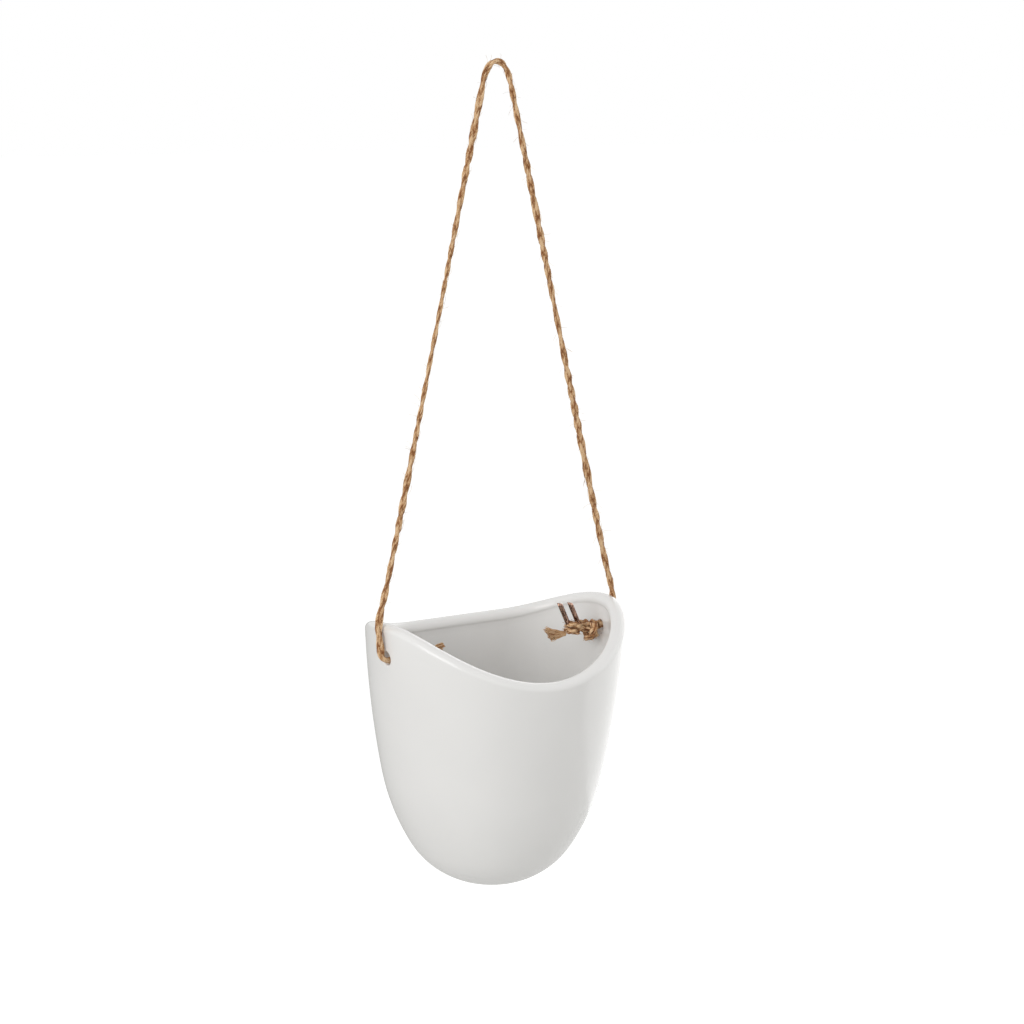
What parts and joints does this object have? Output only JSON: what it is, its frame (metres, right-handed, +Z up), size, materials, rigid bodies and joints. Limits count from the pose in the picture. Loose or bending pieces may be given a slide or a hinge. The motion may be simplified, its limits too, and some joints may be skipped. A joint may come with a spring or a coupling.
{
  "type": "wall planter",
  "caption": "Small glazed ceramic wall planter with a flat back and a saddle-shaped rim, hung by a knotted loop of jute twine.",
  "frame": {"origin": "where a hook carries the twine loop, under the top of its bend", "axes": "+Z up, +X across the pot's width, +Y towards the wall behind it"},
  "size_m": [0.1212, 0.0949, 0.36],
  "materials": {
    "glazed_pot": "white gloss glaze over slip-cast earthenware",
    "jute": "two-ply natural jute twine",
    "pin_steel": "bright plated round wire"
  },
  "bodies": {
    "root": {"pot": "glazed_pot", "twine_loop": "jute", "left_knot": "jute", "right_knot": "jute", "left_tail": "jute", "right_tail": "jute", "pin_binding": "jute", "split_pin": "pin_steel"}
  },
  "joints": []
}
